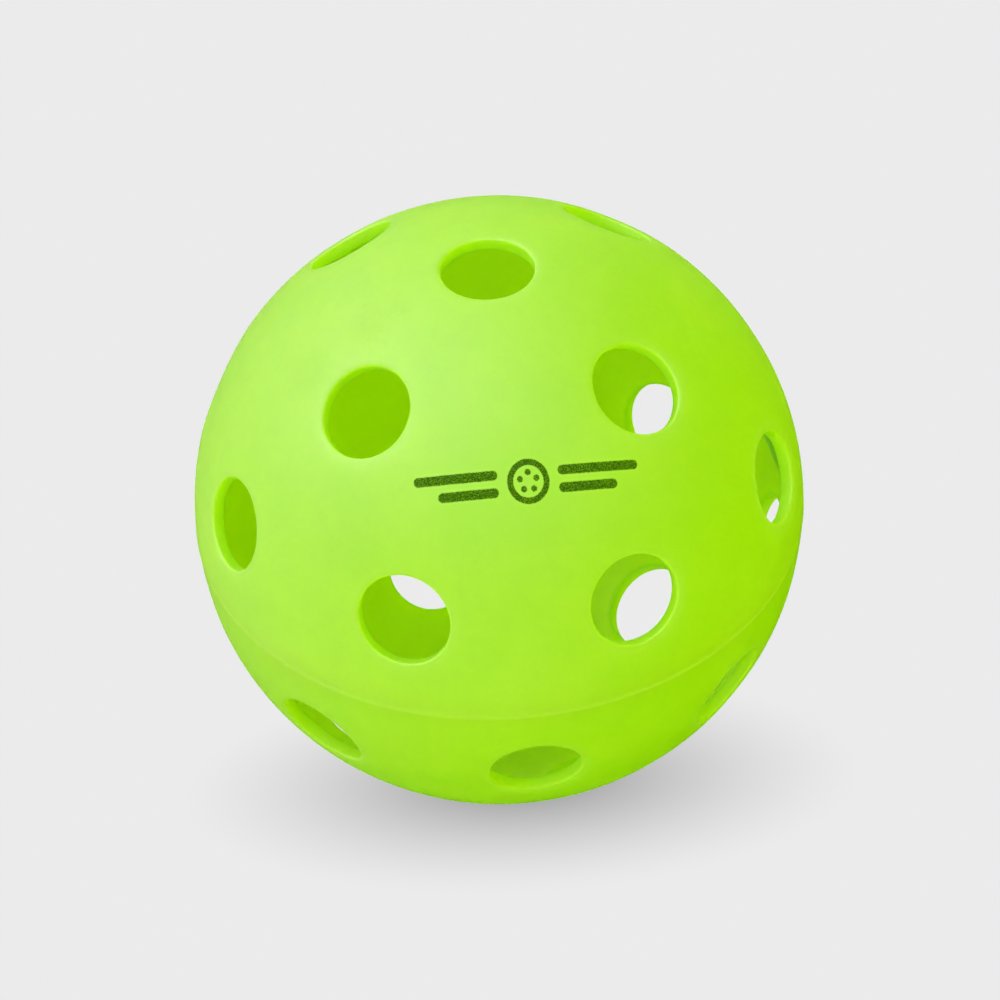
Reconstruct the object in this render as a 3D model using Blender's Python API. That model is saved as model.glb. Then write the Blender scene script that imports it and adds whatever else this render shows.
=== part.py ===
"""A pickleball ball: two moulded half shells with round holes, fused edge to edge.

Units are metres and +Z is up. The origin is the centre of the ball, +Z runs through the hole at the pole of
the upper half, and the fused seam lies in the XY plane. The ball rests on the rim of its lowest hole.
"""

import math

import bmesh
import bpy
from mathutils import Vector
from mathutils.geometry import delaunay_2d_cdt

MM = 0.001

# The wall
OUTER_RADIUS = 37.0 * MM
WALL = 1.8 * MM
INNER_RADIUS = OUTER_RADIUS - WALL

# Each pole is a little flatter than the rest of the sphere: it lies this much lower inside the first
# angle, and rejoins the sphere at the second
POLE_FLATTENING = 0.5 * MM
FLAT_TO = math.radians(10.5)
ROUND_FROM = math.radians(26.5)

# The holes of one half: (how many, angle from the pole, turn about the pole)
HOLE_RADIUS = 5.45 * MM
HOLE_OUTER_ROUND = 0.6 * MM
HOLE_INNER_ROUND = 0.4 * MM
HOLE_RINGS = (
    (1, 0.0, 0.0),
    (4, math.radians(36.85), 0.0),
    (8, math.radians(71.25), math.radians(22.5)),
)

# How far each half is turned about Z. The rings of eight pass each other by about half a pitch.
LOWER_TURN = math.radians(22.5)
UPPER_TURN = math.radians(43.4)

# The stepped joint at the seam: a spigot on the lower half stands in a socket in the upper half
SEAM_GAP = 0.3 * MM
SEAM_EDGE_ROUND = 0.15 * MM
SPIGOT_THICKNESS = 0.75 * MM
SPIGOT_HEIGHT = 1.5 * MM
SPIGOT_LEAD_IN = 0.2 * MM

# The bead squeezed inwards from the seam
BEAD_THICKNESS = 0.8 * MM
BEAD_HALF_HEIGHT = 1.1 * MM
BEAD_SIDES = 5

# Fineness of the meshes
RIM_SEGMENTS = 84
HOLE_SEGMENTS = 28
OUTER_ROUND_STEPS = 2
INNER_ROUND_STEPS = 1
OUTER_STEP = 3.5 * MM
INNER_STEP = 4.2 * MM


def clear_scene():
    for obj in list(bpy.data.objects):
        bpy.data.objects.remove(obj, do_unlink=True)


def plastic(name, colour, roughness):
    material = bpy.data.materials.new(name)
    material.use_nodes = True
    shader = material.node_tree.nodes["Principled BSDF"]
    shader.inputs["Base Color"].default_value = (*colour, 1.0)
    shader.inputs["Roughness"].default_value = roughness
    shader.inputs["Metallic"].default_value = 0.0
    material.diffuse_color = (*colour, 1.0)
    return material


def direction(from_pole, turn):
    """The unit vector at an angle from +Z, turned about Z from +X."""
    across = math.sin(from_pole)
    return Vector((across * math.cos(turn), across * math.sin(turn), math.cos(from_pole)))


def hole_axes():
    """The unit axis of each hole of a half whose pole is at +Z."""
    axes = []
    for count, from_pole, start in HOLE_RINGS:
        for k in range(count):
            axes.append(direction(from_pole, start + 2 * math.pi * k / count))
    return axes


def lowering(from_pole):
    """How far the wall at an angle from the pole lies below the sphere."""
    along = min(1.0, max(0.0, (from_pole - FLAT_TO) / (ROUND_FROM - FLAT_TO)))
    return POLE_FLATTENING * (1 - along * along * (3 - 2 * along))


def ring_about(axis, radius, height, segments):
    """Points of a circle about an axis through the origin, at a height along it."""
    across = Vector((0, 0, 1)).cross(axis)
    if across.length < 1e-6:
        across = Vector((1, 0, 0))
    across.normalize()
    other = axis.cross(across)
    points = []
    for k in range(segments):
        angle = 2 * math.pi * k / segments
        points.append(axis * height + radius * (math.cos(angle) * across + math.sin(angle) * other))
    return points


def level_ring(radius, z):
    """Points of a horizontal circle about Z."""
    return ring_about(Vector((0, 0, 1)), radius, z, RIM_SEGMENTS)


def hole_profile():
    """(radius, height) of the hole's wall along its axis, from the outer skin to the inner skin."""
    outer_centre_r = HOLE_RADIUS + HOLE_OUTER_ROUND
    outer_centre_h = math.sqrt((OUTER_RADIUS - HOLE_OUTER_ROUND) ** 2 - outer_centre_r**2)
    inner_centre_r = HOLE_RADIUS + HOLE_INNER_ROUND
    inner_centre_h = math.sqrt((INNER_RADIUS + HOLE_INNER_ROUND) ** 2 - inner_centre_r**2)
    outer_from = math.atan2(outer_centre_h, outer_centre_r)
    inner_to = math.pi + math.atan2(inner_centre_h, inner_centre_r)
    profile = []
    for k in range(OUTER_ROUND_STEPS + 1):
        angle = outer_from + (math.pi - outer_from) * k / OUTER_ROUND_STEPS
        r = outer_centre_r + HOLE_OUTER_ROUND * math.cos(angle)
        profile.append((r, outer_centre_h + HOLE_OUTER_ROUND * math.sin(angle)))
    for k in range(INNER_ROUND_STEPS + 1):
        angle = math.pi + (inner_to - math.pi) * k / INNER_ROUND_STEPS
        r = inner_centre_r + HOLE_INNER_ROUND * math.cos(angle)
        profile.append((r, inner_centre_h + HOLE_INNER_ROUND * math.sin(angle)))
    return profile


def cap_directions(radius, step, border_angle, window_angle):
    """Directions spread evenly over a cap about +Z, clear of its border and of the windows in it."""
    axes = hole_axes()
    rows = round(border_angle * radius / step)
    found = []
    for row in range(1, rows):
        from_pole = border_angle * row / rows
        count = 4 * max(1, round(math.pi / 2 * math.sin(from_pole) * radius / step))
        for k in range(count):
            point = direction(from_pole, 2 * math.pi * (k + 0.5 * (row % 2)) / count)
            if all(point.angle(axis) > window_angle + 0.55 * step / radius for axis in axes):
                found.append(point)
    return found


def flattened(point):
    """Stereographic map of a direction onto a plane, which keeps circles round."""
    return Vector((point.x, point.y)) / (1 + point.z / point.length) / point.length


def add_skin(bm, radius, step, border_z, window_loops):
    """Adds a cap of a sphere with a window at each loop; returns the vertices of its border and windows."""
    border_angle = math.acos(border_z / radius)
    window_angle = window_loops[0][0].angle(hole_axes()[0])
    loops = [level_ring(radius * math.sin(border_angle), border_z), *window_loops]
    points = []
    edges = []
    spans = []
    for loop in loops:
        first = len(points)
        points.extend(loop)
        spans.append(range(first, len(points)))
        edges.extend((k, first + (k - first + 1) % len(loop)) for k in spans[-1])
    points.extend(radius * d for d in cap_directions(radius, step, border_angle, window_angle))
    flat = [flattened(p) for p in points]
    _, _, faces, sources, _, _ = delaunay_2d_cdt(flat, edges, [], 0, 1e-7)
    vertices = [bm.verts.new(p) for p in points]
    loop_of = {k: n for n, span in enumerate(spans[1:]) for k in span}
    for face in faces:
        corners = [sources[k][0] for k in face]
        windows = {loop_of.get(k, -1) for k in corners}
        if len(windows) == 1 and -1 not in windows:
            continue
        bm.faces.new([vertices[k] for k in corners])
    return [[vertices[k] for k in span] for span in spans]


def add_loop(bm, points):
    return [bm.verts.new(p) for p in points]


def add_strip(bm, first, second):
    """Quads between two loops that hold the same number of vertices in the same order."""
    for k in range(len(first)):
        after = (k + 1) % len(first)
        bm.faces.new((first[k], first[after], second[after], second[k]))


def joint_profile(has_spigot):
    """(radius, z) of the joint from the outer skin to the inner skin, with the pole of the half at +Z."""
    face_z = SEAM_GAP / 2
    spigot_r = INNER_RADIUS + SPIGOT_THICKNESS
    profile = [(OUTER_RADIUS - SEAM_EDGE_ROUND, face_z)]
    if has_spigot:
        profile.append((spigot_r, face_z))
        profile.append((spigot_r, SPIGOT_LEAD_IN - SPIGOT_HEIGHT))
        profile.append((spigot_r - SPIGOT_LEAD_IN, -SPIGOT_HEIGHT))
        profile.append((INNER_RADIUS, -SPIGOT_HEIGHT))
        return profile
    profile.append((spigot_r + SEAM_GAP, face_z))
    profile.append((spigot_r + SEAM_GAP, SPIGOT_HEIGHT + SEAM_GAP))
    return profile


def build_object(name, bm, material):
    bmesh.ops.recalc_face_normals(bm, faces=bm.faces)
    mesh = bpy.data.meshes.new(name)
    bm.to_mesh(mesh)
    bm.free()
    mesh.shade_smooth()
    mesh.set_sharp_from_angle(angle=math.radians(40))
    mesh.materials.append(material)
    obj = bpy.data.objects.new(name, mesh)
    bpy.context.scene.collection.objects.link(obj)
    return obj


def half_shell(name, has_spigot, material):
    """One moulded half, built pole up about the centre of the ball."""
    bm = bmesh.new()
    profile = hole_profile()
    rings = [[ring_about(axis, r, h, HOLE_SEGMENTS) for r, h in profile] for axis in hole_axes()]

    outer_z = SEAM_GAP / 2 + SEAM_EDGE_ROUND
    inner_z = 0.0 if has_spigot else SPIGOT_HEIGHT + SEAM_GAP
    outer = add_skin(bm, OUTER_RADIUS, OUTER_STEP, outer_z, [ring[0] for ring in rings])
    inner = add_skin(bm, INNER_RADIUS, INNER_STEP, inner_z, [ring[-1] for ring in rings])

    for k, ring in enumerate(rings):
        loops = [outer[k + 1], *(add_loop(bm, points) for points in ring[1:-1]), inner[k + 1]]
        for first, second in zip(loops, loops[1:]):
            add_strip(bm, first, second)

    levels = [level_ring(r, z) for r, z in joint_profile(has_spigot)]
    loops = [outer[0], *(add_loop(bm, points) for points in levels), inner[0]]
    for first, second in zip(loops, loops[1:]):
        add_strip(bm, first, second)

    for vertex in bm.verts:
        vertex.co.z -= lowering(vertex.co.angle(Vector((0, 0, 1))))
    return build_object(name, bm, material)


def weld_bead(name, material):
    """A D-shaped ring just inside the wall, flat towards it and round towards the middle of the ball."""
    bm = bmesh.new()
    wall_side = INNER_RADIUS - SEAM_GAP
    loops = []
    for k in range(BEAD_SIDES + 1):
        angle = math.pi * (k / BEAD_SIDES - 0.5)
        r = wall_side - BEAD_THICKNESS * math.cos(angle)
        loops.append(add_loop(bm, level_ring(r, BEAD_HALF_HEIGHT * math.sin(angle))))
    for first, second in zip(loops, loops[1:] + loops[:1]):
        add_strip(bm, first, second)
    return build_object(name, bm, material)


def build_ball():
    shell = plastic("soft_green_plastic", (0.42, 0.86, 0.05), 0.45)
    bead = plastic("melted_green_plastic", (0.38, 0.80, 0.04), 0.35)

    upper = half_shell("upper_half_shell", False, shell)
    upper.rotation_euler = (0, 0, UPPER_TURN)

    lower = half_shell("lower_half_shell", True, shell)
    lower.rotation_euler = (math.pi, 0, LOWER_TURN)

    weld_bead("inner_weld_bead", bead)


clear_scene()
build_ball()
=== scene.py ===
import math

import bmesh
import bpy
from mathutils import Matrix, Vector, noise
from mathutils.geometry import delaunay_2d_cdt


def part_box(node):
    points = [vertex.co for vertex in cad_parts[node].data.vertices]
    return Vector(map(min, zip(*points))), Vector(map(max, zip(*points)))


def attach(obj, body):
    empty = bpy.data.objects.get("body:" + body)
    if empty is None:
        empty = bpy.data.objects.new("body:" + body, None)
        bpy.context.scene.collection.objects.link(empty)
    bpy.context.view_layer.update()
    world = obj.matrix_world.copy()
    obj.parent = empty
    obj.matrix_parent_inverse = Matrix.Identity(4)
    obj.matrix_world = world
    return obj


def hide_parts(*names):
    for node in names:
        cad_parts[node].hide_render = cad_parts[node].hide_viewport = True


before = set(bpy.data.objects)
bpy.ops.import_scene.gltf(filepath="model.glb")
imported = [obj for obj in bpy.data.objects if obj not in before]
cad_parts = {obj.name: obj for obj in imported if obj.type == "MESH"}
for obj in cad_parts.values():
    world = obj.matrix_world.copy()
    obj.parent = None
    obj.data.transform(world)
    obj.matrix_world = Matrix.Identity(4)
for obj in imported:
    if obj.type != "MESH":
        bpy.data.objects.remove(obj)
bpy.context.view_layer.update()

MM = 0.001

# ---------------------------------------------------------------------------------------------------------
# The ball. The main sizes are those of the CAD model, which gives the radius and the height it rests at.
# ---------------------------------------------------------------------------------------------------------
OUTER_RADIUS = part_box("lower_half_shell")[1][0]
REST_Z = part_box("lower_half_shell")[0][2]
WALL = 1.8 * MM
INNER_RADIUS = OUTER_RADIUS - WALL

# The holes of one half: (how many, angle from the pole, turn about the pole)
HOLE_RINGS = (
    (1, 0.0, 0.0),
    (4, math.radians(36.85), 0.0),
    (8, math.radians(71.25), math.radians(22.5)),
)
LOWER_RING_SHIFT = math.radians(-0.45)  # the lower half's ring of four sits a little nearer its pole
LOWER_TURN = math.radians(22.5)
UPPER_TURN = math.radians(43.4)

HOLE_RADIUS = 5.45 * MM
HOLE_INNER_ROUND = 0.3 * MM
INNER_ROUND_STEPS = 5
# The skin dips softly towards each hole: (distance from the hole's middle in mm, degrees of slope)
HOLE_DIP = (
    (8.5, 0.0), (8.0, 0.7), (7.5, 1.5), (7.1, 2.3), (6.8, 3.2), (6.5, 4.6),
    (6.3, 6.2), (6.12, 8.5), (5.95, 12.0), (5.8, 17.0), (5.68, 23.0),
)
DIP_START = 5  # rows of HOLE_DIP from here on belong to the hole's own rings
LIP_ANGLES = (34.0, 45.0, 54.0, 63.0, 72.0, 81.0, 90.0)  # the slopes on round the lip, down to the wall

# Each pole is a little flatter than a sphere: lowered this much up to the first angle, round from the last
POLE_FLATTENING = 0.37 * MM
FLAT_TO = math.radians(10.5)
ROUND_FROM = math.radians(26.5)

# The wall isn't quite even: (height in mm, waves over the radius)
WALL_WAVES = ((0.030, 2.6), (0.010, 8.0))

# Relief of the fused seam, in mm: an uneven ridge just below it, a shallow groove above it, and a lower
# half that falls away from it and comes back to the sphere further down
RIDGE_HEIGHT, RIDGE_VARIES, RIDGE_WAVES = 0.042, 0.012, 9.0
RIDGE_Z, RIDGE_SPREAD = -0.15, 0.20
GROOVE_DEPTH, GROOVE_Z, GROOVE_SPREAD = 0.014, 0.5, 0.28
FALL_AWAY, FALL_LENGTH = 0.115, 2.2
FALL_KEPT_TO, FALL_FADES_OVER = 5, 5
RELIEF_REACH = 1.1 * MM  # how deep into the wall points move with the relief
ON_SKIN = 1e-7  # a point this near the outer radius lies on the outer skin

# The halves are fused into one wall; these heights above and below the seam, in mm, carry its low relief
SEAM_LEVELS = (
    2.2, 1.85, 1.5, 1.2, 0.95, 0.75, 0.58, 0.44, 0.32, 0.22, 0.13, 0.05, -0.02, -0.09, -0.16, -0.23,
    -0.30, -0.36, -0.42, -0.50, -0.60, -0.74, -0.92, -1.15, -1.45, -1.8, -2.2,
)
INNER_SEAM_LEVELS = (1.4, 0.7, 0.0, -0.7, -1.4)
OUTER_BORDER = 2.6 * MM  # where the seam's levels meet the outer and inner skins
INNER_BORDER = 2.1 * MM

# The bead of melted plastic inside the seam
BEAD_THICKNESS = 0.72 * MM
BEAD_HALF_HEIGHT = 0.95 * MM
BEAD_GAP = 0.03 * MM
BEAD_DRIFT = 0.16 * MM
BEAD_DRIFT_WAVES = 5.0
BEAD_SWELLS = ((0.28, 7.0), (0.12, 23.0))  # (share of the thickness, waves over the radius)
BEAD_BULGE = 0.8  # 1 is an ellipse across; less is fuller

# Fineness of the meshes
RIM_SEGMENTS = 480
HOLE_SEGMENTS = 96
BEAD_SEGMENTS = 360
BEAD_SIDES = 14
OUTER_STEP = 0.95 * MM
INNER_STEP = 1.6 * MM
RING_SPACING = 0.55  # of a step, between points on the rings around a hole
RING_CLEARANCE = 0.6  # of a step, left free beyond the last of those rings
INNER_RING_BEYOND = 0.8 * MM  # from a hole's edge to the ring around it on the inner skin

# Paler colour around the holes, in mm from a hole's middle: it is strongest at the first distance, fades
# over the second and stops at the last. Within the first, the edge becomes the wall over EDGE_WIDTH.
PALE_TO, PALE_FADE, PALE_END = 5.9, 1.0, 9.0
EDGE_WIDTH = 0.4

# The mark printed on the upper half: its middle, from the pole and round from -Y, and its tilt
MARK_FROM_POLE = math.radians(45.2)
MARK_ROUND = math.radians(2.8)
MARK_TILT = math.radians(-2.9)

# The camera: how far round and above the ball it stands, its roll, its distance and its small offset
VIEW_ROUND = math.radians(-4.65)
VIEW_ABOVE = math.radians(42.1)
VIEW_ROLL = math.radians(-2.89)
VIEW_DISTANCE = 0.453
VIEW_SHIFT_RIGHT = 0.117 * MM
VIEW_SHIFT_UP = -0.033 * MM
SENSOR_WIDTH = 36.0
LENS_SHARE = 3.716  # focal length over the width of the frame


# ---------------------------------------------------------------------------------------------------------
# Shape
# ---------------------------------------------------------------------------------------------------------
def direction(from_pole, turn):
    """The unit vector at an angle from the pole and a turn about it."""
    across = math.sin(from_pole)
    return Vector((across * math.cos(turn), across * math.sin(turn), math.cos(from_pole)))


def hole_axes(lower):
    """The directions of one half's holes, seen with its pole up."""
    axes = []
    for count, from_pole, start in HOLE_RINGS:
        shift = LOWER_RING_SHIFT if lower and count == 4 else 0.0
        for k in range(count):
            axes.append(direction(from_pole + shift, start + 2 * math.pi * k / count))
    return axes


def ring_about(axis, radius, height, segments):
    """Points around an axis through the ball's centre."""
    across = Vector((0, 0, 1)).cross(axis)
    if across.length < 1e-6:
        across = Vector((1, 0, 0))
    across.normalize()
    other = axis.cross(across)
    points = []
    for k in range(segments):
        angle = 2 * math.pi * k / segments
        points.append(axis * height + radius * (math.cos(angle) * across + math.sin(angle) * other))
    return points


def level_ring(radius, z, start=0.0):
    """Points around the ball at one height."""
    points = []
    for k in range(RIM_SEGMENTS):
        angle = start + 2 * math.pi * k / RIM_SEGMENTS
        points.append(Vector((radius * math.cos(angle), radius * math.sin(angle), z)))
    return points


def dip_depths():
    """[(distance, depth)] of the dip in mm, from its outside inwards and on round the lip."""
    depths = [(HOLE_DIP[0][0], 0.0)]
    for (r0, slope0), (r1, slope1) in zip(HOLE_DIP, HOLE_DIP[1:]):
        drop = (r0 - r1) * math.tan(math.radians((slope0 + slope1) / 2))
        depths.append((r1, depths[-1][1] + drop))
    lip_from, lip_depth = depths[-1]
    tilt = math.radians(HOLE_DIP[-1][1])
    lip = (lip_from - HOLE_RADIUS / MM) / (1 - math.sin(tilt))
    for degrees in LIP_ANGLES:
        angle = math.radians(degrees)
        r = lip_from - lip * (math.sin(angle) - math.sin(tilt))
        depths.append((r, lip_depth + lip * (math.cos(tilt) - math.cos(angle))))
    return depths


HOLE_DEPTHS = dip_depths()


def dip_at(distance):
    """How far the outer skin lies below the round ball, in metres."""
    r = distance / MM
    for (r0, d0), (r1, d1) in zip(HOLE_DEPTHS, HOLE_DEPTHS[1:]):
        if r1 <= r <= r0:
            return MM * (d0 + (d1 - d0) * (r0 - r) / (r0 - r1))
    return 0.0 if r > HOLE_DEPTHS[0][0] else MM * HOLE_DEPTHS[-1][1]


def hole_profile():
    """(radius, height) of a hole's wall along its axis, from the outer skin to the inner skin.

    The first ring belongs to the outer skin, which shaped() lowers; the others are lowered here.
    """
    profile = []
    for distance, depth in HOLE_DEPTHS[DIP_START:]:
        r = distance * MM
        profile.append((r, math.sqrt(OUTER_RADIUS**2 - r * r) - (depth * MM if profile else 0.0)))
    round_r = HOLE_RADIUS + HOLE_INNER_ROUND
    round_h = math.sqrt((INNER_RADIUS + HOLE_INNER_ROUND) ** 2 - round_r**2)
    sweep = math.atan2(round_h, round_r)
    profile.append((HOLE_RADIUS, (profile[-1][1] + round_h) / 2))
    for k in range(INNER_ROUND_STEPS + 1):
        angle = math.pi + sweep * k / INNER_ROUND_STEPS
        r = round_r + HOLE_INNER_ROUND * math.cos(angle)
        profile.append((r, round_h + HOLE_INNER_ROUND * math.sin(angle)))
    return profile


def add_loop(bm, points):
    return [bm.verts.new(p) for p in points]


def add_strip(bm, first, second):
    count = len(first)
    for k in range(count):
        after = (k + 1) % count
        bm.faces.new((first[k], first[after], second[after], second[k]))


def add_skin(bm, axes, radius, step, border_z, window_loops, rings_beyond, start):
    """Adds a cap of a sphere, in even triangles, with a window at each loop.

    Returns the vertices of its border and then those of each window.
    """
    border = math.acos(border_z / radius)
    loops = [level_ring(radius * math.sin(border), border_z, start), *window_loops]
    points = []
    edges = []
    spans = []
    for loop in loops:
        first = len(points)
        points.extend(loop)
        spans.append(range(first, len(points)))
        edges.extend((k, first + (k - first + 1) % len(loop)) for k in spans[-1])
    for axis in axes:
        for beyond in rings_beyond:
            height = math.sqrt(radius**2 - beyond**2)
            segments = min(HOLE_SEGMENTS, round(2 * math.pi * beyond / (RING_SPACING * step)))
            points.extend(ring_about(axis, beyond, height, segments))
    clear = math.cos(math.asin(rings_beyond[-1] / radius) + RING_CLEARANCE * step / radius)
    rows = round(border * radius / step)
    for row in range(1, rows):
        from_pole = border * row / rows
        count = 4 * max(1, round(math.pi / 2 * math.sin(from_pole) * radius / step))
        for k in range(count):
            point = direction(from_pole, 2 * math.pi * (k + 0.5 * (row % 2)) / count)
            if all(point.dot(axis) < clear for axis in axes):
                points.append(point * radius)
    flat = [Vector((p.x, p.y)) / (radius + p.z) for p in points]
    _, _, faces, sources, _, _ = delaunay_2d_cdt(flat, edges, [], 0, 1e-8)
    vertices = [bm.verts.new(p) for p in points]
    loop_of = {k: n for n, span in enumerate(spans[1:]) for k in span}
    for face in faces:
        corners = [sources[k][0] for k in face]
        held = {loop_of.get(k, -1) for k in corners}
        if len(held) == 1 and -1 not in held:
            continue
        bm.faces.new([vertices[k] for k in corners])
    return [[vertices[k] for k in span] for span in spans]


def lowering(from_pole):
    """How much lower than the sphere the ball lies near a pole, in metres."""
    along = min(1.0, max(0.0, (from_pole - FLAT_TO) / (ROUND_FROM - FLAT_TO)))
    return POLE_FLATTENING * (1 - along * along * (3 - 2 * along))


def seam_relief(z, out):
    """How far the outer skin stands out near the seam, in mm, at a height in mm and in a direction."""
    ridge = RIDGE_HEIGHT + RIDGE_VARIES * noise.noise(Vector((out.x, out.y, 0.3)) * RIDGE_WAVES)
    relief = ridge * math.exp(-(((z - RIDGE_Z) / RIDGE_SPREAD) ** 2))
    relief -= GROOVE_DEPTH * math.exp(-(((z - GROOVE_Z) / GROOVE_SPREAD) ** 2))
    if z < 0:
        kept = math.exp(-max(0.0, -z - FALL_KEPT_TO) / FALL_FADES_OVER)
        relief -= FALL_AWAY * (1 - math.exp(z / FALL_LENGTH)) * kept
    return relief


def shaped(point, holes):
    """A point of the ideal ball moved to where moulding and fusing leave it."""
    out = point.normalized()
    stand = sum(height * noise.noise(out * waves) for height, waves in WALL_WAVES)
    if point.length > OUTER_RADIUS - RELIEF_REACH:
        stand += seam_relief(point.z / MM, out)
    if abs(point.length - OUTER_RADIUS) < ON_SKIN:
        stand -= max(dip_at(distance_from(point, axis)) for axis in holes) / MM
    from_nearer_pole = Vector((0, 0, 1)).angle(Vector((out.x, out.y, abs(out.z))))
    sunk = math.copysign(lowering(from_nearer_pole), point.z)
    return point + out * stand * MM - Vector((0, 0, sunk))


def distance_from(point, axis):
    """How far a point lies from a hole's axis, if it is on the axis's side of the ball."""
    along = point.dot(axis)
    return (point - axis * along).length if along > 0 else 1.0


def nearness(distance):
    """0 away from a hole, 1 where its rounded edge starts, and 2 on its wall."""
    r = distance / MM
    if r > PALE_TO:
        return math.exp(-(((r - PALE_TO) / PALE_FADE) ** 2)) if r < PALE_END else 0.0
    return min(2.0, 1 + (PALE_TO - r) / EDGE_WIDTH)


def half_shell(bm, axes, start):
    """Adds one half's skins and holes; returns the loops along its outer and inner borders."""
    profile = hole_profile()
    rings = [[ring_about(axis, r, h, HOLE_SEGMENTS) for r, h in profile] for axis in axes]
    outer_rings = [distance * MM for distance, _ in HOLE_DIP[DIP_START - 1 :: -1]]
    inner_rings = [profile[-1][0] + INNER_RING_BEYOND]
    outer_loops = [ring[0] for ring in rings]
    inner_loops = [ring[-1] for ring in rings]
    outer = add_skin(bm, axes, OUTER_RADIUS, OUTER_STEP, OUTER_BORDER, outer_loops, outer_rings, start)
    inner = add_skin(bm, axes, INNER_RADIUS, INNER_STEP, INNER_BORDER, inner_loops, inner_rings, start)
    for k, ring in enumerate(rings):
        loops = [outer[k + 1], *(add_loop(bm, points) for points in ring[1:-1]), inner[k + 1]]
        for first, second in zip(loops, loops[1:]):
            add_strip(bm, first, second)
    return outer[0], inner[0]


def in_step(loop):
    """The loop's vertices ordered by their angle round the ball, so that two borders can be joined."""

    def place(vertex):
        turns = math.atan2(vertex.co.y, vertex.co.x) / (2 * math.pi)
        return round(turns * RIM_SEGMENTS) % RIM_SEGMENTS

    return sorted(loop, key=place)


def ball_shell(name):
    """The whole wall as one closed mesh: both halves, their holes and the seam band that joins them."""
    bm = bmesh.new()
    borders = []
    holes = []
    for turn, lower in ((UPPER_TURN, False), (LOWER_TURN, True)):
        place = Matrix.Rotation(turn, 4, "Z") @ Matrix.Rotation(math.pi if lower else 0.0, 4, "X")
        axes = hole_axes(lower)
        holes += [place @ axis for axis in axes]
        before = len(bm.verts)
        outer, inner = half_shell(bm, axes, turn if lower else -turn)
        bm.verts.ensure_lookup_table()
        bmesh.ops.transform(bm, matrix=place, verts=bm.verts[before:])
        borders.append((in_step(outer), in_step(inner)))
    for side, radius, levels in ((0, OUTER_RADIUS, SEAM_LEVELS), (1, INNER_RADIUS, INNER_SEAM_LEVELS)):
        band = [level_ring(math.sqrt(radius**2 - (z * MM) ** 2), z * MM) for z in levels]
        loops = [borders[0][side], *(add_loop(bm, points) for points in band), borders[1][side]]
        for first, second in zip(loops, loops[1:]):
            add_strip(bm, first, second)

    near_hole = bm.verts.layers.float.new("near_hole")
    for vertex in bm.verts:
        vertex[near_hole] = nearness(min(distance_from(vertex.co, axis) for axis in holes))
        vertex.co = shaped(vertex.co, holes)
    bmesh.ops.recalc_face_normals(bm, faces=bm.faces)
    return object_of(name, bm, 35)


def weld_bead(name):
    """The melted ring inside the seam: a rounded, uneven bead lying on the wall."""
    bm = bmesh.new()
    loops = []
    for k in range(BEAD_SIDES + 1):
        angle = math.pi * (k / BEAD_SIDES - 0.5)
        bulge = math.cos(angle) ** BEAD_BULGE if 0 < k < BEAD_SIDES else 0.0
        loop = []
        for j in range(BEAD_SEGMENTS):
            turn = 2 * math.pi * j / BEAD_SEGMENTS
            here = Vector((math.cos(turn), math.sin(turn), 0))
            swell = 1 + sum(share * noise.noise(here * waves) for share, waves in BEAD_SWELLS)
            drift = BEAD_DRIFT * noise.noise(here * BEAD_DRIFT_WAVES + Vector((3, 3, 3)))
            r = INNER_RADIUS - BEAD_GAP - BEAD_THICKNESS * swell * bulge
            loop.append(Vector((r * here.x, r * here.y, BEAD_HALF_HEIGHT * math.sin(angle) + drift)))
        loops.append(add_loop(bm, loop))
    for first, second in zip(loops, loops[1:] + loops[:1]):
        add_strip(bm, first, second)
    bmesh.ops.recalc_face_normals(bm, faces=bm.faces)
    return object_of(name, bm, 60)


def object_of(name, bm, sharp_angle):
    """An object in the scene from a mesh, smooth except at edges sharper than an angle in degrees."""
    mesh = bpy.data.meshes.new(name)
    bm.to_mesh(mesh)
    bm.free()
    mesh.shade_smooth()
    mesh.set_sharp_from_angle(angle=math.radians(sharp_angle))
    obj = bpy.data.objects.new(name, mesh)
    bpy.context.scene.collection.objects.link(obj)
    return obj


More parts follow.
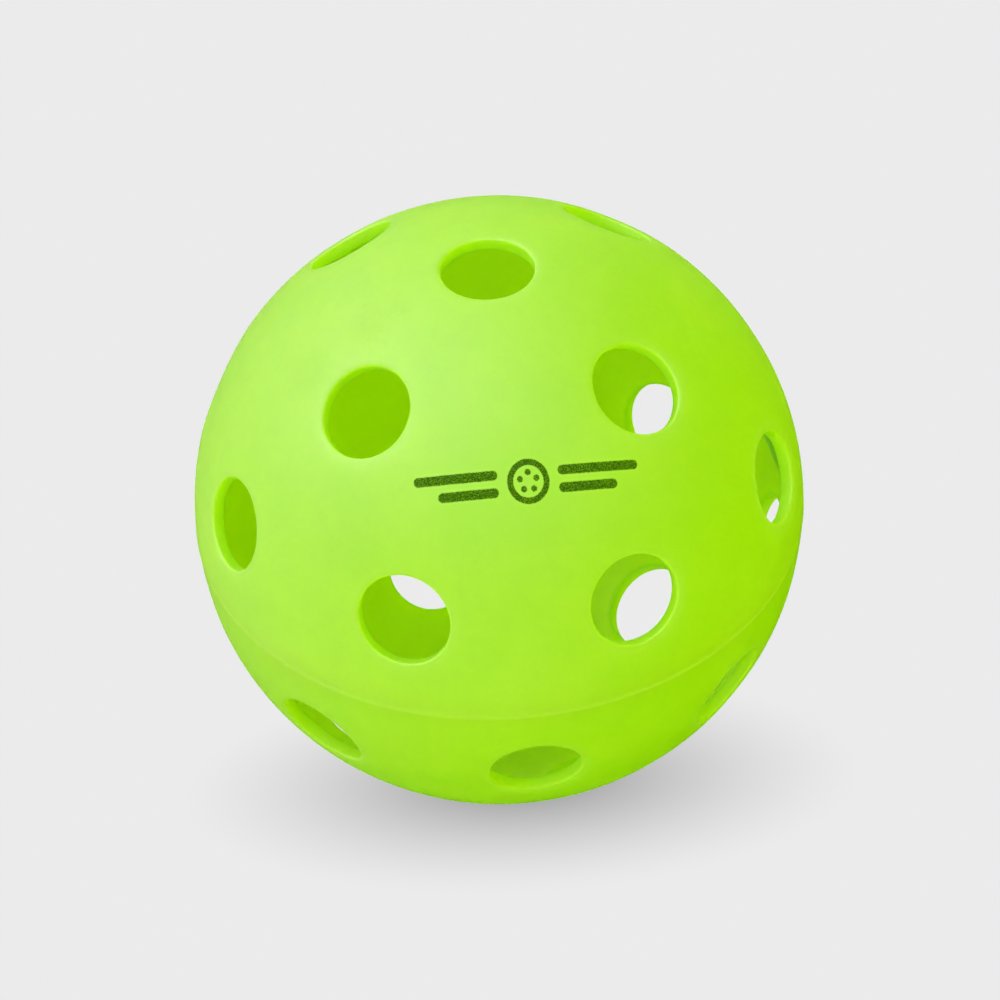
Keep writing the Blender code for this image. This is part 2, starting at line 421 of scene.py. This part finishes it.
# ---------------------------------------------------------------------------------------------------------
# Materials
# ---------------------------------------------------------------------------------------------------------
class Nodes:
    """Short calls for making and joining shader nodes."""

    def __init__(self, tree):
        self.tree = tree

    def join(self, value, socket):
        if isinstance(value, bpy.types.NodeSocket):
            self.tree.links.new(value, socket)
        else:
            socket.default_value = value

    def add(self, kind, inputs=(), **settings):
        node = self.tree.nodes.new(kind)
        for key, value in settings.items():
            setattr(node, key, value)
        for key, value in dict(inputs).items():
            self.join(value, node.inputs[key])
        return node

    def math(self, operation, *values, clamp=False):
        node = self.add("ShaderNodeMath", operation=operation, use_clamp=clamp)
        for k, value in enumerate(values):
            self.join(value, node.inputs[k])
        return node.outputs[0]

    def noise(self, vector, scale, detail=2.0, roughness=0.5, distortion=0.0):
        node = self.add(
            "ShaderNodeTexNoise",
            {
                "Vector": vector,
                "Scale": scale,
                "Detail": detail,
                "Roughness": roughness,
                "Distortion": distortion,
            },
        )
        return node.outputs["Fac"]

    def remap(self, value, low, high, to_low=0.0, to_high=1.0):
        node = self.add("ShaderNodeMapRange", interpolation_type="SMOOTHSTEP")
        self.join(value, node.inputs["Value"])
        for key, number in (("From Min", low), ("From Max", high), ("To Min", to_low), ("To Max", to_high)):
            node.inputs[key].default_value = number
        return node.outputs["Result"]

    def blend(self, factor, first, second, how="MIX"):
        node = self.add("ShaderNodeMix", data_type="RGBA", blend_type=how)
        self.join(factor, node.inputs["Factor"])
        for key, value in ((6, first), (7, second)):
            self.join((*value, 1.0) if isinstance(value, tuple) else value, node.inputs[key])
        return node.outputs[2]

    def dot(self, vector, other):
        node = self.add("ShaderNodeVectorMath", operation="DOT_PRODUCT")
        self.join(vector, node.inputs[0])
        node.inputs[1].default_value = other
        return node.outputs["Value"]


# Base colours, as light sent back by the plastic; some hold painted shade and some painted light, as marked
OUTSIDE_DEEP = (0.414, 0.868, 0.0006)
OUTSIDE_PALE = (0.455, 0.895, 0.0020)
FLOW_TINT = (0.410, 0.860, 0.0008)
PALE_AROUND_HOLES = (0.448, 0.875, 0.017)
# a painted highlight: the seam's ridge is paler where it would catch the light
RIDGE_PAINTED_HIGHLIGHT = (0.480, 0.935, 0.020)
SPECK_TINT = (0.50, 0.93, 0.010)
# painted light: the inside is brighter, standing in for light bounced about inside the ball
INSIDE_PAINTED_LIGHT = (0.68, 0.98, 0.002)
# painted light on the upper half's hole walls, brighter for light through the plastic; painted shade on the
# lower half's
HOLE_WALL_PAINTED_LIGHT = (0.50, 0.965, 0.002)
LOWER_HOLE_WALL_SHADE = (0.45, 0.868, 0.001)
INK_DARK = (0.032, 0.122, 0.001)
INK_LIGHT = (0.180, 0.420, 0.004)
BEAD_DEEP = (0.36, 0.82, 0.001)
BEAD_PALE = (0.42, 0.88, 0.004)
# Painted shade the lower half and its pole multiply the colour by, and the lower half's painted dimmer
# gloss
LOWER_HALF_SHADE = (0.925, 0.960, 1.0)
LOWER_POLE_SHADE = (0.890, 0.985, 1.0)
LOWER_HALF_DIMMED_REFLECTION = (0.6, 0.6, 0.6)
INK_GLOSS = (0.05, 0.05, 0.05)
WHITE = (1.0, 1.0, 1.0)

LIGHT_REACH = (2.9, 3.7, 0.5)  # how far red, green and blue light go in the plastic, in mm
REFRACTION = 1.5
GLOSS = 0.5
PALE_AROUND_HOLES_SHARE = 0.5  # how much of the paler colour shows at a hole's edge
RIDGE_HIGHLIGHT_SHARE = 0.8  # how much of the painted highlight shows on the seam's ridge
FLOW_SHARE = 0.35
SPECK_SHARE = 0.25
SIDE_SHADE_LEAN = -4.0  # painted shade: how fast the tone turns deeper and darker towards +X, the camera's right
FLOW_DRAWN_OUT = 0.18  # flow marks run along the ball's axis

# Where the tints, the painted shade and the painted light fade in or out: by height, by distance from the
# ridge and by distance from the middle
LOWER_HALF_FADE = (-0.9 * MM, -0.4 * MM)
LOWER_POLE_SHADE_FADE = (-26.0 * MM, -6.0 * MM)
RIDGE_HIGHLIGHT_Z = -0.3 * MM
RIDGE_HIGHLIGHT_FADE = (0.1 * MM, 0.4 * MM)
INSIDE_FADE = (35.3 * MM, 35.9 * MM)

# Roughness of the skin and the bead, and what scratches and ink add to the skin's
SKIN_ROUGHNESS = (0.40, 0.50)
BEAD_ROUGHNESS = (0.26, 0.40)
SCRATCHED_ROUGHER = 0.10
PRINTED_ROUGHER = 0.08
# The finest relief: its height, and how grain and scratches share in it beside the orange peel's 1
SKIN_RELIEF = 0.02 * MM
BEAD_RELIEF = 0.04 * MM
GRAIN_SHARE = 0.35
SCRATCH_SHARE = 0.7

# Handling marks: (scale, how drawn out, turn), their half width in the noise and where their patches begin
SCRATCHES = ((300.0, 26.0, 0.5), (360.0, 30.0, 2.1), (280.0, 24.0, 3.9))
SCRATCH_WIDTH = 0.012
SCRATCH_PATCHES = (0.60, 0.70)

# The printed mark, in units of about a millimetre across and up
MARK_UNITS_ACROSS = 1025.0
MARK_UNITS_UP = 960.0
MARK_RING, MARK_LINE = 2.1, 0.34  # the ring's radius and half its line
MARK_DOTS, MARK_DOT_RING, MARK_DOT = 5, 1.0, 0.34
MARK_DOTS_START = 0.25  # of the angle between two dots
MARK_BARS = ((0.95, 3.5, 13.0), (-0.95, 3.5, 10.4))  # (height, near end, far end), on either side
MARK_BAR_HALF = 0.52
MARK_EDGE_SOFT = 0.06
MARK_EDGE_ROUGH = 0.16


def new_material(name):
    """A material, its Principled shader and short calls for its nodes."""
    material = bpy.data.materials.new(name)
    material.use_nodes = True
    tree = material.node_tree
    return material, tree.nodes["Principled BSDF"], Nodes(tree)


def mark_mask(n, place):
    """1 on the ink of the printed mark: a plain ball sign with two rounded bars on either side."""
    normal = direction(MARK_FROM_POLE, MARK_ROUND - math.pi / 2)
    east = Vector((0, 0, 1)).cross(normal).normalized()
    north = normal.cross(east)
    turn = Matrix.Rotation(MARK_TILT, 3, normal)
    u = n.math("MULTIPLY", n.dot(place, turn @ east), MARK_UNITS_ACROSS)
    v = n.math("MULTIPLY", n.dot(place, turn @ north), MARK_UNITS_UP)

    def length(du, dv):
        return n.math("SQRT", n.math("ADD", n.math("MULTIPLY", du, du), n.math("MULTIPLY", dv, dv)))

    def distance(cu, cv):
        return length(n.math("SUBTRACT", u, cu), n.math("SUBTRACT", v, cv))

    def bar(u0, u1, cv, half):
        middle, reach = (u0 + u1) / 2, (u1 - u0) / 2 - half
        off_middle = n.math("ABSOLUTE", n.math("SUBTRACT", u, middle))
        past_end = n.math("MAXIMUM", n.math("SUBTRACT", off_middle, reach), 0.0)
        return n.math("SUBTRACT", length(past_end, n.math("SUBTRACT", v, cv)), half)

    off_ring = n.math("ABSOLUTE", n.math("SUBTRACT", distance(0, 0), MARK_RING))
    shapes = [n.math("SUBTRACT", off_ring, MARK_LINE)]
    for k in range(MARK_DOTS):
        angle = 2 * math.pi * (k + MARK_DOTS_START) / MARK_DOTS
        from_dot = distance(MARK_DOT_RING * math.cos(angle), MARK_DOT_RING * math.sin(angle))
        shapes.append(n.math("SUBTRACT", from_dot, MARK_DOT))
    for side in (-1, 1):
        for cv, near, far in MARK_BARS:
            ends = sorted((side * near, side * far))
            shapes.append(bar(ends[0], ends[1], cv, MARK_BAR_HALF))
    nearest = shapes[0]
    for shape in shapes[1:]:
        nearest = n.math("MINIMUM", nearest, shape)
    uneven = n.math("SUBTRACT", n.noise(place, scale=5200.0), 0.5)  # around 0
    nearest = n.math("ADD", nearest, n.math("MULTIPLY", uneven, MARK_EDGE_ROUGH))
    on_this_side = n.math("GREATER_THAN", n.dot(place, normal), 20 * MM)
    return n.math("MULTIPLY", n.remap(nearest, -MARK_EDGE_SOFT, MARK_EDGE_SOFT, 1.0, 0.0), on_this_side)


def plastic_colour_with_painted_light(n, place):
    """The plastic's colour with painted shade and light, and 1 on the lower half and 0 on the upper half.

    The outer skin is cloudy, with flow marks, paler around the holes, with painted shade towards +X and on
    the lower half and a painted highlight on the seam's ridge. The holes' walls and the inside are painted
    brighter, standing in for light through the plastic, the lower half's walls less so.
    """
    x, y, z = n.add("ShaderNodeSeparateXYZ", {"Vector": place}).outputs
    near_hole = n.add("ShaderNodeAttribute", attribute_name="near_hole").outputs["Fac"]
    from_middle = n.add("ShaderNodeVectorMath", {"Vector": place}, operation="LENGTH").outputs["Value"]
    below = n.remap(z, *LOWER_HALF_FADE, 1.0, 0.0)

    clouds = n.noise(place, scale=95.0, detail=3.0, roughness=0.55)
    # painted shade: the cloudy tone leans deeper towards +X, the side away from the main light
    clouds_and_side_shade = n.math("ADD", clouds, n.math("MULTIPLY", x, SIDE_SHADE_LEAN))
    colour = n.blend(n.remap(clouds_and_side_shade, 0.35, 0.65), OUTSIDE_DEEP, OUTSIDE_PALE)

    along_axis = n.math("MULTIPLY", z, FLOW_DRAWN_OUT)
    drawn_out = n.add("ShaderNodeCombineXYZ", {"X": x, "Y": y, "Z": along_axis}).outputs[0]
    flow = n.noise(drawn_out, scale=420.0, detail=3.0, roughness=0.6, distortion=0.4)
    colour = n.blend(n.remap(flow, 0.42, 0.72, 0.0, FLOW_SHARE), colour, FLOW_TINT)

    cloudy = n.remap(clouds, 0.3, 0.7, 0.8, 1.2)
    pale = n.math("MULTIPLY", n.remap(near_hole, 0.0, 1.0, 0.0, PALE_AROUND_HOLES_SHARE), cloudy)
    colour = n.blend(pale, colour, PALE_AROUND_HOLES)

    # painted shade: the lower half darker, and darker still towards its pole, near the table
    colour = n.blend(below, colour, LOWER_HALF_SHADE, "MULTIPLY")
    colour = n.blend(n.remap(z, *LOWER_POLE_SHADE_FADE, 1.0, 0.0), colour, LOWER_POLE_SHADE, "MULTIPLY")
    # painted highlight along the seam's ridge
    off_ridge = n.math("ABSOLUTE", n.math("SUBTRACT", z, RIDGE_HIGHLIGHT_Z))
    colour = n.blend(n.remap(off_ridge, *RIDGE_HIGHLIGHT_FADE, RIDGE_HIGHLIGHT_SHARE, 0.0), colour, RIDGE_PAINTED_HIGHLIGHT)

    # painted light on the inside skin
    colour = n.blend(n.remap(from_middle, *INSIDE_FADE, 1.0, 0.0), colour, INSIDE_PAINTED_LIGHT)
    # the hole walls: painted light on the upper half, painted shade on the lower half
    wall = n.blend(below, HOLE_WALL_PAINTED_LIGHT, LOWER_HOLE_WALL_SHADE)
    colour = n.blend(n.remap(near_hole, 1.0, 2.0), colour, wall)

    specks = n.noise(place, scale=2600.0, detail=1.0)
    return n.blend(n.remap(specks, 0.60, 0.78, 0.0, SPECK_SHARE), colour, SPECK_TINT), below


def handling_marks(n, place):
    """1 on fine scratches, which lie in patches."""
    scuff = 0.0
    for scale, stretch, turn in SCRATCHES:
        aim = n.add("ShaderNodeMapping", {"Vector": place})
        aim.inputs["Rotation"].default_value = (turn, 0.8 * turn, 1.7 * turn)
        aim.inputs["Scale"].default_value = (1.0, stretch, 2.2)
        lines = n.noise(aim.outputs[0], scale, detail=1.0)
        thin = n.remap(n.math("ABSOLUTE", n.math("SUBTRACT", lines, 0.5)), 0.0, SCRATCH_WIDTH, 1.0, 0.0)
        patch = n.remap(n.noise(place, 70.0 + 9 * turn, detail=1.0), *SCRATCH_PATCHES)
        scuff = n.math("MAXIMUM", scuff, n.math("MULTIPLY", thin, patch))
    return scuff


def shell_material(name):
    """Soft, slightly cloudy polyethylene with fine grain, light handling marks, the printed mark, painted
    shade and light in its colour and a painted dimmer reflection on its lower half.
    """
    material, shader, n = new_material(name)
    place = n.add("ShaderNodeTexCoord").outputs["Object"]
    colour, below = plastic_colour_with_painted_light(n, place)
    scuff = handling_marks(n, place)

    mask = mark_mask(n, place)
    speckle = n.remap(n.noise(place, scale=7000.0, roughness=0.7), 0.45, 0.66)
    worn = n.remap(n.noise(place, scale=4300.0, roughness=0.7), 0.22, 0.34, 0.72, 1.0)
    cover = n.math("MULTIPLY", mask, worn)
    n.join(n.blend(cover, colour, n.blend(speckle, INK_DARK, INK_LIGHT)), shader.inputs["Base Color"])

    # painted reflection: the lower half's gloss is dimmed where it would mirror the table's shadow
    gloss = n.blend(cover, n.blend(below, WHITE, LOWER_HALF_DIMMED_REFLECTION), INK_GLOSS)
    n.join(gloss, shader.inputs["Specular Tint"])

    rough = n.remap(n.noise(place, scale=240.0, detail=3.0), 0.3, 0.7, *SKIN_ROUGHNESS)
    rough = n.math("ADD", rough, n.math("MULTIPLY", scuff, SCRATCHED_ROUGHER))
    rough = n.math("ADD", rough, n.math("MULTIPLY", mask, PRINTED_ROUGHER))
    n.join(rough, shader.inputs["Roughness"])

    grain = n.math("MULTIPLY", n.noise(place, scale=3600.0, roughness=0.6), GRAIN_SHARE)
    orange_peel = n.noise(place, scale=620.0)
    scratched = n.math("MULTIPLY", scuff, SCRATCH_SHARE)
    height = n.math("SUBTRACT", n.math("ADD", grain, orange_peel), scratched)
    bump = n.add("ShaderNodeBump", {"Height": height, "Distance": SKIN_RELIEF, "Strength": 0.8})
    n.join(bump.outputs[0], shader.inputs["Normal"])
    plastic_inside(shader)
    return material


def plastic_inside(shader):
    """Light goes a few millimetres into the plastic, and green goes furthest."""
    shader.inputs["IOR"].default_value = REFRACTION
    shader.inputs["Specular IOR Level"].default_value = GLOSS
    shader.subsurface_method = "BURLEY"
    shader.inputs["Subsurface Weight"].default_value = 1.0
    shader.inputs["Subsurface Radius"].default_value = LIGHT_REACH
    shader.inputs["Subsurface Scale"].default_value = MM


def bead_material(name):
    """The same plastic, melted and set in a glossier, blotchy bead."""
    material, shader, n = new_material(name)
    place = n.add("ShaderNodeTexCoord").outputs["Object"]
    blotches = n.noise(place, scale=420.0, detail=3.0)
    n.join(n.blend(n.remap(blotches, 0.35, 0.65), BEAD_DEEP, BEAD_PALE), shader.inputs["Base Color"])
    n.join(n.remap(blotches, 0.3, 0.7, *BEAD_ROUGHNESS), shader.inputs["Roughness"])
    ripples = n.noise(place, scale=1500.0, detail=3.0)
    bump = n.add("ShaderNodeBump", {"Height": ripples, "Distance": BEAD_RELIEF, "Strength": 0.7})
    n.join(bump.outputs[0], shader.inputs["Normal"])
    plastic_inside(shader)
    return material


# ---------------------------------------------------------------------------------------------------------
# Floor, light and camera
# ---------------------------------------------------------------------------------------------------------
PAPER = 0.8308  # the radiance of the table and of the room behind it
TABLE_HALF = 3.0
TABLE_GAP = 0.01 * MM

# The painted shadow under the ball, which the lamps don't cast: its middle, half width and half depth, seen
# from the camera's side, how much it takes away in its middle and how it fades outwards; and the painted
# darker ring around the point of contact
SHADOW_RIGHT, SHADOW_AWAY = 1.1 * MM, -13.0 * MM
SHADOW_HALF_WIDTH, SHADOW_HALF_DEPTH = 43.6 * MM, 19.2 * MM
SHADOW_DARKEST, SHADOW_POWER = 0.694, 1.463
CONTACT_FROM, CONTACT_TO, CONTACT_DARKEST = 4.0 * MM, 16.5 * MM, 0.93

# Light by direction from the camera's side of the ball: (right, up, back, how narrow, radiance)
MATT_BASE = 0.715
MATT_LIGHT = (
    (0.0, 1.0, 0.0, 1.0, 0.23),
    (1.0, 0.0, 0.3, 1.0, 0.04),
    (-1.0, 0.0, 0.1, 1.0, 0.32),
    (0.0, -0.67, 0.742, 1.0, 0.14),
    (0.0, 0.3, -0.95, 1.0, 0.48),
    (-0.59, 0.68, 0.42, 4.0, -0.45),
)
GLOSS_BASE = 0.0
GLOSS_LIGHT = (
    (-0.59, 0.68, 0.42, 8.0, 2.3),
    (-0.59, 0.68, 0.42, 3.0, 3.0),
    (0.0, 0.3, 0.95, 3.0, 1.8),
    (-0.95, 0.0, -0.2, 3.0, 1.0),
    (-0.7, -0.5, 0.3, 3.0, 0.9),
    (-0.25, 0.87, -0.42, 4.0, 0.8),
    (0.45, 0.45, 0.77, 6.0, 0.2),
    (0.1, -0.86, 0.45, 8.0, 0.75),
)


def add_floor():
    """An evenly glowing pale table with a painted soft shadow under the ball, and clear when seen from
    below.
    """
    bm = bmesh.new()
    corners = ((-1, -1), (1, -1), (1, 1), (-1, 1))
    bm.faces.new([bm.verts.new((TABLE_HALF * x, TABLE_HALF * y, REST_Z - TABLE_GAP)) for x, y in corners])
    floor = object_of("studio_table", bm, 30)
    material = bpy.data.materials.new("pale_table_painted_shadow")
    material.use_nodes = True
    tree = material.node_tree
    tree.nodes.clear()
    n = Nodes(tree)
    place = n.add("ShaderNodeTexCoord").outputs["Object"]
    across = Vector((math.cos(VIEW_ROUND), math.sin(VIEW_ROUND), 0))
    away = Vector((-math.sin(VIEW_ROUND), math.cos(VIEW_ROUND), 0))
    # painted shadow: the table's glow is dimmed in a soft pool under the ball and more near the contact
    u = n.math("DIVIDE", n.math("SUBTRACT", n.dot(place, across), SHADOW_RIGHT), SHADOW_HALF_WIDTH)
    v = n.math("DIVIDE", n.math("SUBTRACT", n.dot(place, away), SHADOW_AWAY), SHADOW_HALF_DEPTH)
    out = n.math("SQRT", n.math("ADD", n.math("MULTIPLY", u, u), n.math("MULTIPLY", v, v)))
    within = n.math("SUBTRACT", 1.0, out, clamp=True)
    painted_pool_shade = n.math("MULTIPLY", n.math("POWER", within, SHADOW_POWER), SHADOW_DARKEST)
    flat = n.add("ShaderNodeVectorMath", {0: place, 1: (1.0, 1.0, 0.0)}, operation="MULTIPLY").outputs[0]
    from_contact = n.add("ShaderNodeVectorMath", {0: flat}, operation="LENGTH").outputs["Value"]
    painted_contact_shade = n.remap(from_contact, CONTACT_FROM, CONTACT_TO, CONTACT_DARKEST, 0.0)
    light = n.math("MULTIPLY", n.math("SUBTRACT", 1.0, n.math("MAXIMUM", painted_pool_shade, painted_contact_shade)), PAPER)
    glow = n.add("ShaderNodeEmission", {"Color": (*WHITE, 1.0), "Strength": light})
    clear = n.add("ShaderNodeBsdfTransparent")
    from_below = n.add("ShaderNodeNewGeometry").outputs["Backfacing"]
    one_sided = n.add("ShaderNodeMixShader", {0: from_below, 1: glow.outputs[0], 2: clear.outputs[0]})
    n.add("ShaderNodeOutputMaterial", {"Surface": one_sided.outputs[0]})
    floor.data.materials.append(material)
    floor.visible_glossy = False


def add_world():
    """A light tent: broad lights for the plastic's matt part, others for its gloss, and a plain wall."""
    world = bpy.data.worlds.new("studio")
    bpy.context.scene.world = world
    world.use_nodes = True
    world.cycles.sampling_method = "NONE"
    tree = world.node_tree
    tree.nodes.clear()
    n = Nodes(tree)
    aim = n.add("ShaderNodeTexCoord").outputs["Generated"]
    right, up, back = view_axes()

    def lobes(rows, base):
        total = base
        for across, above, behind, power, radiance in rows:
            toward = (right * across + up * above + back * behind).normalized()
            lobe = n.math("POWER", n.math("MAXIMUM", n.dot(aim, toward), 0.0), power)
            total = n.math("ADD", total, n.math("MULTIPLY", lobe, radiance))
        return total

    path = n.add("ShaderNodeLightPath").outputs
    shown = lobes(MATT_LIGHT, MATT_BASE)
    gloss = lobes(GLOSS_LIGHT, GLOSS_BASE)
    for seen, radiance in ((path["Is Glossy Ray"], gloss), (path["Is Camera Ray"], PAPER)):
        mix = n.add("ShaderNodeMix", data_type="FLOAT")
        n.join(seen, mix.inputs[0])
        n.join(shown, mix.inputs[2])
        n.join(radiance, mix.inputs[3])
        shown = mix.outputs[0]
    glow = n.add("ShaderNodeBackground", {"Color": (*WHITE, 1.0), "Strength": shown})
    n.add("ShaderNodeOutputWorld", {"Surface": glow.outputs[0]})


def view_axes():
    """The camera's right, up and back directions."""
    back = Vector(
        (
            math.sin(VIEW_ROUND) * math.cos(VIEW_ABOVE),
            -math.cos(VIEW_ROUND) * math.cos(VIEW_ABOVE),
            math.sin(VIEW_ABOVE),
        )
    )
    right = Vector((math.cos(VIEW_ROUND), math.sin(VIEW_ROUND), 0))
    up = back.cross(right)
    return (
        right * math.cos(VIEW_ROLL) + up * math.sin(VIEW_ROLL),
        up * math.cos(VIEW_ROLL) - right * math.sin(VIEW_ROLL),
        back,
    )


def add_camera():
    right, up, back = view_axes()
    data = bpy.data.cameras.new("camera")
    data.sensor_width = SENSOR_WIDTH
    data.lens = SENSOR_WIDTH * LENS_SHARE
    data.clip_start = 0.01
    data.clip_end = 50.0
    camera = bpy.data.objects.new("camera", data)
    middle = right * VIEW_SHIFT_RIGHT + up * VIEW_SHIFT_UP
    turn = Matrix((right, up, back)).transposed().to_4x4()
    camera.matrix_world = Matrix.Translation(middle + back * VIEW_DISTANCE) @ turn
    bpy.context.scene.collection.objects.link(camera)
    bpy.context.scene.camera = camera


def main():
    shell = ball_shell("ball_shell_fine")
    bead = weld_bead("weld_bead_fine")
    shell.data.materials.append(shell_material("soft_green_plastic"))
    bead.data.materials.append(bead_material("melted_green_plastic"))
    for piece, nodes, slot in (
        (shell, ("upper_half_shell", "lower_half_shell"), "shell_plastic"),
        (bead, ("inner_weld_bead",), "weld_plastic"),
    ):
        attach(piece, "root")
        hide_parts(*nodes)

    add_floor()
    add_world()
    add_camera()
    bpy.context.scene.view_settings.view_transform = "Standard"
    bpy.context.scene.view_settings.look = "None"


main()
